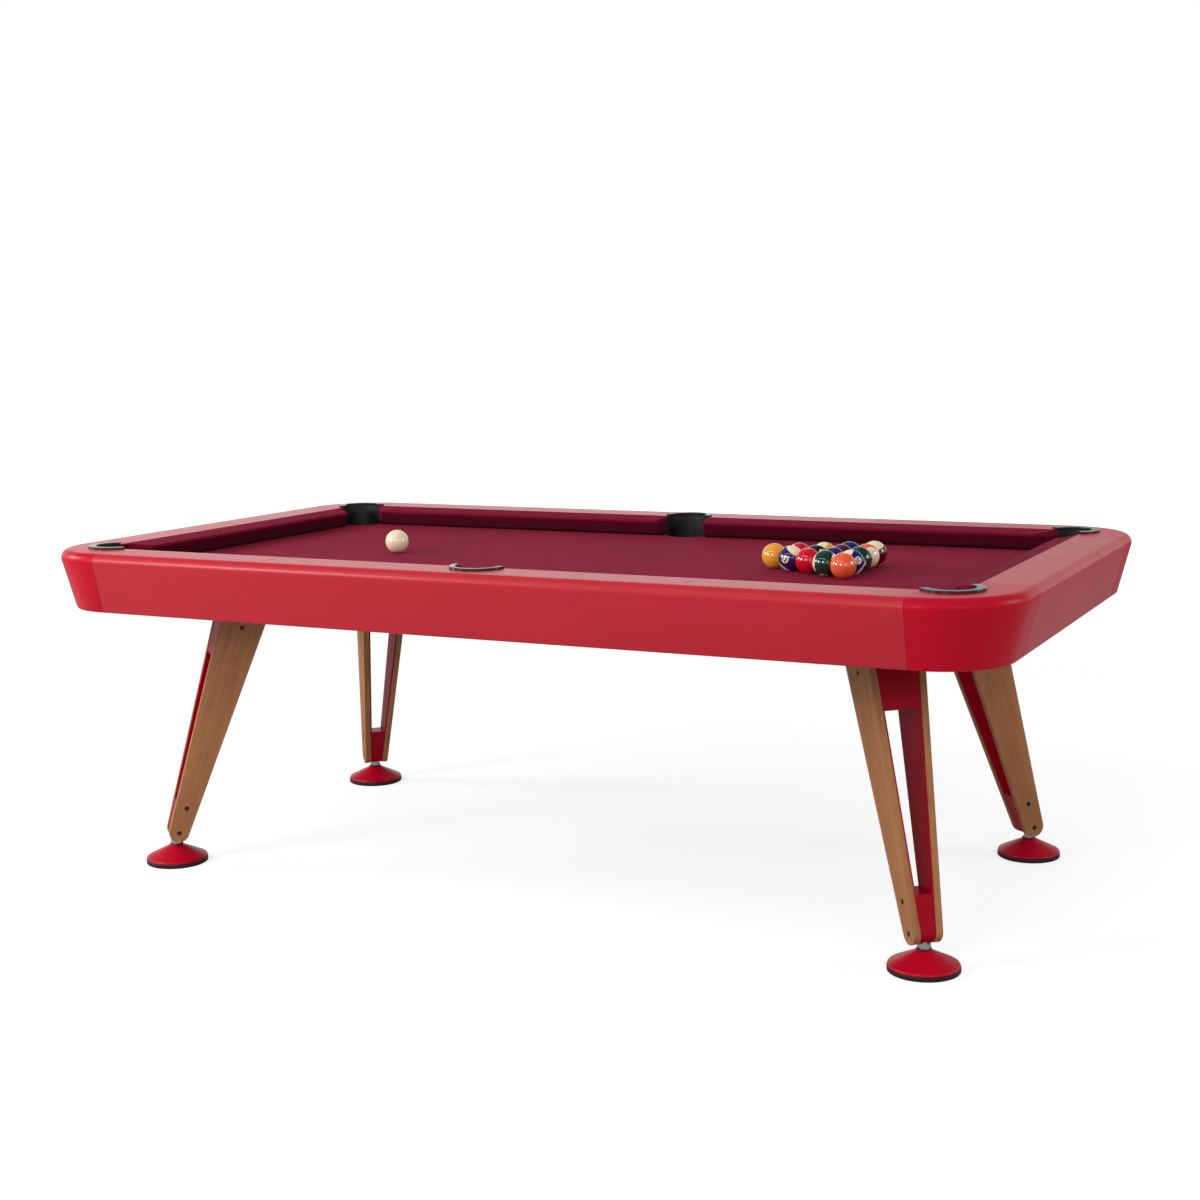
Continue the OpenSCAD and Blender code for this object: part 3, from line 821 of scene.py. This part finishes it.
def covered_cushion(name, origin, along, back, ends, flares):
    """A cushion with its nose between two ends along a line, each end flared towards its back."""
    low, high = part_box(name)
    section = cushion_outline(COVER_W, low.z, high.z - NOSE_DROP, high.z)
    stations = 60
    rings = []
    for k in range(stations + 1):
        t = k / stations
        ring = []
        for deep, z in section:
            start = ends[0] - flares[0] * deep / CUSHION_W
            stop = ends[1] + flares[1] * deep / CUSHION_W
            length = start + (stop - start) * t
            point = origin + along * length + back * deep
            ring.append((point.x, point.y, z))
        rings.append(ring)
    piece = skin(name, rings, "table", CUSHION_CLOTH)
    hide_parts(name)
    soften(piece, 2.0 * MM, 3, 30)


def make_cushions():
    play_x, play_y = BACK_X - CUSHION_W, BACK_Y - CUSHION_W
    for corner, (sx, sy) in CORNERS.items():
        covered_cushion(
            "cushion_" + corner,
            Vector((0, sy * play_y, 0)),
            Vector((sx, 0, 0)),
            Vector((0, sy, 0)),
            (SIDE_TIP, play_x - LONG_TIP),
            (SIDE_FLARE, LONG_FLARE),
        )
    for name, sx in (("left", -1), ("right", 1)):
        covered_cushion(
            "cushion_" + name,
            Vector((sx * play_x, 0, 0)),
            Vector((0, 1, 0)),
            Vector((sx, 0, 0)),
            (SHORT_TIP - play_y, play_y - SHORT_TIP),
            (SHORT_FLARE, SHORT_FLARE),
        )


def bed_outline():
    """Outline of the bed cloth, cut round at the pockets."""
    r = CORNER_CUP_R + CLOTH_FIT
    side_r = SIDE_CUP_R + CLOTH_FIT
    edge = arc(POCKET_X, POCKET_Y, r, -CUT_END, CUT_END - 270, 40)
    quarter = [(cloth_high.x, edge[0][1])] + edge + [(edge[-1][0], cloth_high.y)]
    corners = []
    for sx, sy in ((1, 1), (-1, 1), (-1, -1), (1, -1)):
        corner = [(sx * x, sy * y) for x, y in quarter]
        corners.append(corner if sx * sy > 0 else corner[::-1])
    side = [(side_r, cloth_high.y)] + arc(0, SIDE_Y, side_r, 0, -180, 36)
    side.append((-side_r, cloth_high.y))
    front_side = [(x, -y) for x, y in side][::-1]
    return corners[0] + side + corners[1] + corners[2] + front_side + corners[3]


def make_bed_cloth():
    outline = bed_outline()
    rings = prism_rings(outline, cloth_low.z, cloth_high.z)
    piece = skin("bed_cloth_sheet", rings, "table", BED_CLOTH)
    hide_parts("bed_cloth")
    soften(piece, 0.6 * MM, 3, 40)


# ---------- Legs ----------

# Places in a leg's plane are (outward from the foot's middle, height)
SLAB_T = 15 * MM
VEE = math.radians(3.46)
VEE_BASE = 27.6 * MM
TOE = (-5 * MM, 78 * MM)
TOE_R = 24 * MM
TOP_OUTER = -140.5 * MM
TOP_INNER = -262 * MM
SCREWS = ((-174 * MM, 579 * MM), (-25 * MM, 138 * MM), (-5 * MM, 77 * MM))
SCREW_HEAD_R = 5.8 * MM
SCREW_HEAD_DEEP = 5.8 * MM
SCREW_HOLE_R = 4.2 * MM


def touch(point, r, turn):
    """Angle in degrees at which the tangent from a point touches the toe's circle."""
    dx, dz = point[0] - TOE[0], point[1] - TOE[1]
    return math.degrees(math.atan2(dz, dx) + turn * math.acos(r / math.hypot(dx, dz)))


def leg_frame(corner):
    """Places a piece whose own X runs outward along the leg's diagonal."""
    sx, sy = CORNERS[corner]
    pad_low, pad_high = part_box("foot_%s_pad" % corner)
    centre = (pad_low + pad_high) / 2
    return Matrix.Translation((centre.x, centre.y, 0)) @ Matrix.Rotation(math.atan2(sy, sx), 4, "Z")


def slab_outline(top):
    outer, inner = (TOP_OUTER, top), (TOP_INNER, top)
    a_in = touch(inner, TOE_R, 1)
    a_out = touch(outer, TOE_R, -1) + 360
    return [outer, inner] + arc(TOE[0], TOE[1], TOE_R, a_in, a_out, 28)


def screw_holes(side, to_slab):
    """Cutters for the screws of a slab, each a bore with a wider seat for its head."""
    holes = []
    for x, z in SCREWS:
        place = Matrix.Translation((x, 0, z)) @ Matrix.Rotation(math.radians(90), 4, "X")
        for r, deep in ((SCREW_HEAD_R, SCREW_HEAD_DEEP), (SCREW_HOLE_R, SLAB_T + PAST)):
            low, high = (-deep, PAST) if side < 0 else (-PAST, deep)
            tool = cutter(circle(0, 0, r, 48), low, high)
            tool.matrix_world = to_slab @ place
            holes.append(tool)
    return holes


def make_slabs():
    """Two wooden slabs a leg, each built in its own frame with Z along the grain."""
    for corner in CORNERS:
        node = "leg_%s_slabs" % corner
        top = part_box(node)[1].z / math.cos(VEE)
        outline = slab_outline(top)
        middle_top = (TOP_OUTER + TOP_INNER) / 2
        grain = math.atan2(middle_top - TOE[0], top - TOE[1])
        stand = Matrix.Translation((TOE[0], 0, TOE[1])) @ Matrix.Rotation(grain, 4, "Y")
        to_slab = stand.inverted()
        for side in (-1, 1):
            lean = Matrix.Rotation(-side * VEE, 4, "X")
            lean = Matrix.Translation((0, side * VEE_BASE, 0)) @ lean
            rings = []
            for y in (0.0, -side * SLAB_T):
                rings.append([to_slab @ Vector((x, y, z)) for x, z in outline])
            name = "leg_%s_slab_%s" % (corner, "left" if side > 0 else "right")
            slab = skin(name, rings, "table", SLAB_WOOD)
            slab.matrix_world = leg_frame(corner) @ lean @ stand
            cut(slab, screw_holes(side, to_slab))
            soften(slab, 1.6 * MM, 3, 40)
            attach(slab, "table")
            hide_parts(node)


# ---------- Feet ----------


# Radii of the stud's clearance, the rubber pad and the bell; bottom of the bell's inner boss
STUD_HOLE_R = 8 * MM
PAD_R = 74 * MM
BELL_R = 73 * MM
BOSS_Z = 13 * MM


def pad_section(pad_t):
    points = [(0.0, 0.0), (PAD_R, 0.0), (PAD_R, pad_t), (0.0, pad_t)]
    return rounded(points, [0, 2.2 * MM, 1.2 * MM, 0], 5)


def bell_section(pad_t, top):
    """From the rim of the stud's hole out over the bell, round its lip and back underneath."""
    points = [
        (STUD_HOLE_R, top),
        (14.5 * MM, top),
        (17.5 * MM, top - 2.2 * MM),
        (71.5 * MM, pad_t + 5.5 * MM),
        (BELL_R, pad_t + 2.5 * MM),
        (BELL_R, pad_t),
        (66 * MM, pad_t),
        (64 * MM, pad_t + 1.5 * MM),
        (15 * MM, top - 6 * MM),
        (15 * MM, BOSS_Z),
        (STUD_HOLE_R, BOSS_Z),
    ]
    radii = [0, 1.2 * MM, 3 * MM, 3 * MM, 2 * MM, 0.8 * MM, 0, 0, 2 * MM, 0, 0]
    return rounded(points, radii, 4)


def collar_section(low, high):
    collar_r = 16 * MM
    points = [(STUD_HOLE_R, low), (collar_r, low), (collar_r, high), (STUD_HOLE_R, high)]
    return rounded(points, [0, 1.5 * MM, 2 * MM, 0], 5)


def make_feet():
    for corner in CORNERS:
        body = "foot_" + corner
        pad_low, pad_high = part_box(body + "_pad")
        cone_low, cone_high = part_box(body + "_cone")
        centre = ((pad_low.x + pad_high.x) / 2, (pad_low.y + pad_high.y) / 2)
        pad_t = cone_low.z
        top = cone_high.z
        pad = pad_section(pad_t)
        piece = lathe(body + "_rubber", pad, centre, body, FOOT_RUBBER)
        soften(piece, FINE_EDGE)
        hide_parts(body + "_pad")
        bell = bell_section(pad_t, top)
        piece = lathe(body + "_bell", bell, centre, body, FOOT_RED)
        soften(piece, FINE_EDGE)
        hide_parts(body + "_cone")
        collar = collar_section(top, pad_high.z)
        piece = lathe(body + "_collar", collar, centre, body, FOOT_RUBBER, 64)
        soften(piece, FINE_EDGE)
        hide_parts(body + "_pad")


# ---------- Balls ----------

BALL_R = 57.15 * MM / 2
BALL_COLOURS = {
    "yellow": rgb(238, 162, 48),
    "blue": rgb(12, 28, 104),
    "red": rgb(206, 8, 42),
    "purple": rgb(44, 18, 96),
    "orange": rgb(240, 96, 60),
    "green": rgb(6, 54, 40),
    "maroon": rgb(84, 8, 22),
    "black": rgb(6, 6, 8),
}
# Colours of balls 1 to 7 and, as stripes, 9 to 15
BALL_ORDER = ["yellow", "blue", "red", "purple", "orange", "green", "maroon"]
IVORY = rgb(240, 226, 190)
# Half width of a stripe and radius of a number disc, as parts of a ball's radius
STRIPE_HALF = 0.64
DISC_R = 0.31


def ball_surface(name, colour, striped, numbered):
    """Polished resin. A stripe runs round the ball's own Z, and number discs lie on its X axis."""
    s = Surface(name, colour, 0.02, Specular_IOR_Level=0.9)
    where = s.node("ShaderNodeTexCoord").outputs["Object"]
    split = s.node("ShaderNodeSeparateXYZ")
    s.link(where, split.inputs["Vector"])
    base = colour
    if striped:
        height = s.math("ABSOLUTE", split.outputs["Z"])
        band = s.math("LESS_THAN", height, BALL_R * STRIPE_HALF)
        base = s.mix(band, IVORY, colour)
    if numbered:
        y2 = s.math("POWER", split.outputs["Y"], 2.0)
        z2 = s.math("POWER", split.outputs["Z"], 2.0)
        near = s.math("LESS_THAN", s.math("ADD", y2, z2), (BALL_R * DISC_R) ** 2)
        base = s.mix(near, base, IVORY)
    cloud = s.noise(where, 120, 3)
    shade = s.vary(cloud, 0.96, 1.03)
    s.colour(s.times(base, shade))
    s.rough(s.vary(cloud, 0.015, 0.03))
    return s.material


DIGIT_BLACK = moulded("digit_black", rgb(16, 16, 18), 0.2, 0.0)
DIGIT_LIFT = 0.05 * MM
DIGIT_STROKE = 0.5 * MM
# Height of a single figure, and of each of two
DIGIT_SIZE = (16 * MM, 14 * MM)


def ball_mesh(name, material):
    mesh = bpy.data.meshes.new(name)
    bm = bmesh.new()
    bmesh.ops.create_uvsphere(bm, u_segments=ROUND_STEPS, v_segments=ROUND_STEPS // 2, radius=BALL_R)
    bm.to_mesh(mesh)
    bm.free()
    mesh.materials.append(material)
    mesh.shade_smooth()
    return mesh


def make_digits(name, number, ball, body, side):
    """Raised printed figures, wrapped on the ball over its number disc."""
    curve = bpy.data.curves.new(name, "FONT")
    curve.body = str(number)
    curve.align_x = "CENTER"
    curve.align_y = "CENTER"
    curve.size = DIGIT_SIZE[number >= 10]
    curve.offset = DIGIT_STROKE
    text = new_object(name + "_text", curve)
    bpy.context.view_layer.update()
    mesh = bpy.data.meshes.new_from_object(text)
    bpy.data.objects.remove(text)
    bm = bmesh.new()
    bm.from_mesh(mesh)
    bmesh.ops.triangulate(bm, faces=bm.faces)
    bmesh.ops.subdivide_edges(bm, edges=bm.edges, cuts=2, use_grid_fill=True)
    low = Vector((min(v.co.x for v in bm.verts), min(v.co.y for v in bm.verts), 0))
    high = Vector((max(v.co.x for v in bm.verts), max(v.co.y for v in bm.verts), 0))
    centre = (low + high) / 2
    for v in bm.verts:
        y, z = v.co.x - centre.x, v.co.y - centre.y
        x = math.sqrt(max(1e-9, BALL_R**2 - y * y - z * z))
        on = Vector((x, y, z)).normalized() * (BALL_R + DIGIT_LIFT)
        v.co = Vector((side * on.x, side * on.y, on.z))
    bm.to_mesh(mesh)
    bm.free()
    mesh.name = name
    mesh.materials.clear()
    mesh.materials.append(DIGIT_BLACK)
    obj = new_object(name, mesh)
    obj.matrix_world = ball.matrix_world
    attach(obj, body)


# How each ball lies: azimuth and elevation of its number disc, and its roll about that line
BALL_TURNS = {
    "cue_ball": (0, 0, 0),
    "ball_1": (-70, -84, 0),
    "ball_2": (-70, -70, 0),
    "ball_3": (-60, -82, 0),
    "ball_4": (-70, -72, 0),
    "ball_5": (-80, -84, 0),
    "ball_6": (-58, -10, 0),
    "ball_7": (-70, -74, 0),
    "ball_8": (-36, 30, 0),
    "ball_9": (-70, -15, 35),
    "ball_10": (-38, 16, 40),
    "ball_11": (-70, -20, 74),
    "ball_12": (-99, 2, -35),
    "ball_13": (55, 70, 80),
    "ball_14": (-86, -66, 90),
    "ball_15": (-87, -22, 0),
}


def make_balls():
    for name, (azimuth, elevation, roll) in BALL_TURNS.items():
        low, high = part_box(name)
        centre = (low + high) / 2
        if name == "cue_ball":
            material, slot, number = ball_surface(name, IVORY, False, False), "ball_ivory", None
        else:
            number = int(name.split("_")[1])
            tint = "black" if number == 8 else BALL_ORDER[(number - 1) % 8]
            slot = "ball_" + tint
            material = ball_surface(name, BALL_COLOURS[tint], number > 8, True)
        ball = new_object(name + "_resin", ball_mesh(name, material))
        turn = (
            Matrix.Rotation(math.radians(azimuth), 4, "Z")
            @ Matrix.Rotation(math.radians(-elevation), 4, "Y")
            @ Matrix.Rotation(math.radians(roll), 4, "X")
        )
        ball.matrix_world = Matrix.Translation(centre) @ turn
        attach(ball, name)
        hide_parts(name)
        if number:
            for side, end in ((1, "a"), (-1, "b")):
                make_digits("%s_number_%s" % (name, end), number, ball, name, side)


# ---------- CAD nodes that stay ----------


CAD_MATERIALS = {
    "cushion_rubbers": CUSHION_RUBBER,
    "cushion_backings": PINE,
    "slate": SLATE,
    "corner_pocket_cups": CUP_BLACK,
    "side_pocket_cups": CUP_BLACK,
    "sight_marks": MARK_BLACK,
    "bed_frame": FRAME_BLACK,
    "leg_screws": SCREW_BLACK,
}


def set_material(node, material):
    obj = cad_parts[node]
    obj.data.materials.clear()
    obj.data.materials.append(material)


def finish_cad_nodes():
    for node, material in CAD_MATERIALS.items():
        set_material(node, material)
    for corner in CORNERS:
        set_material("leg_%s_core" % corner, LEG_RED)
        set_material("foot_%s_stud" % corner, STEEL)
        tidy_cad("leg_%s_core" % corner, 0.8 * MM)
        tidy_cad("foot_%s_stud" % corner, 0.5 * MM)
    tidy_cad("bed_frame", 2 * MM)
    tidy_cad("leg_screws", 0.5 * MM)


make_stage()
make_casings()
make_trims()
make_cushions()
make_bed_cloth()
make_slabs()
make_feet()
make_balls()
finish_cad_nodes()
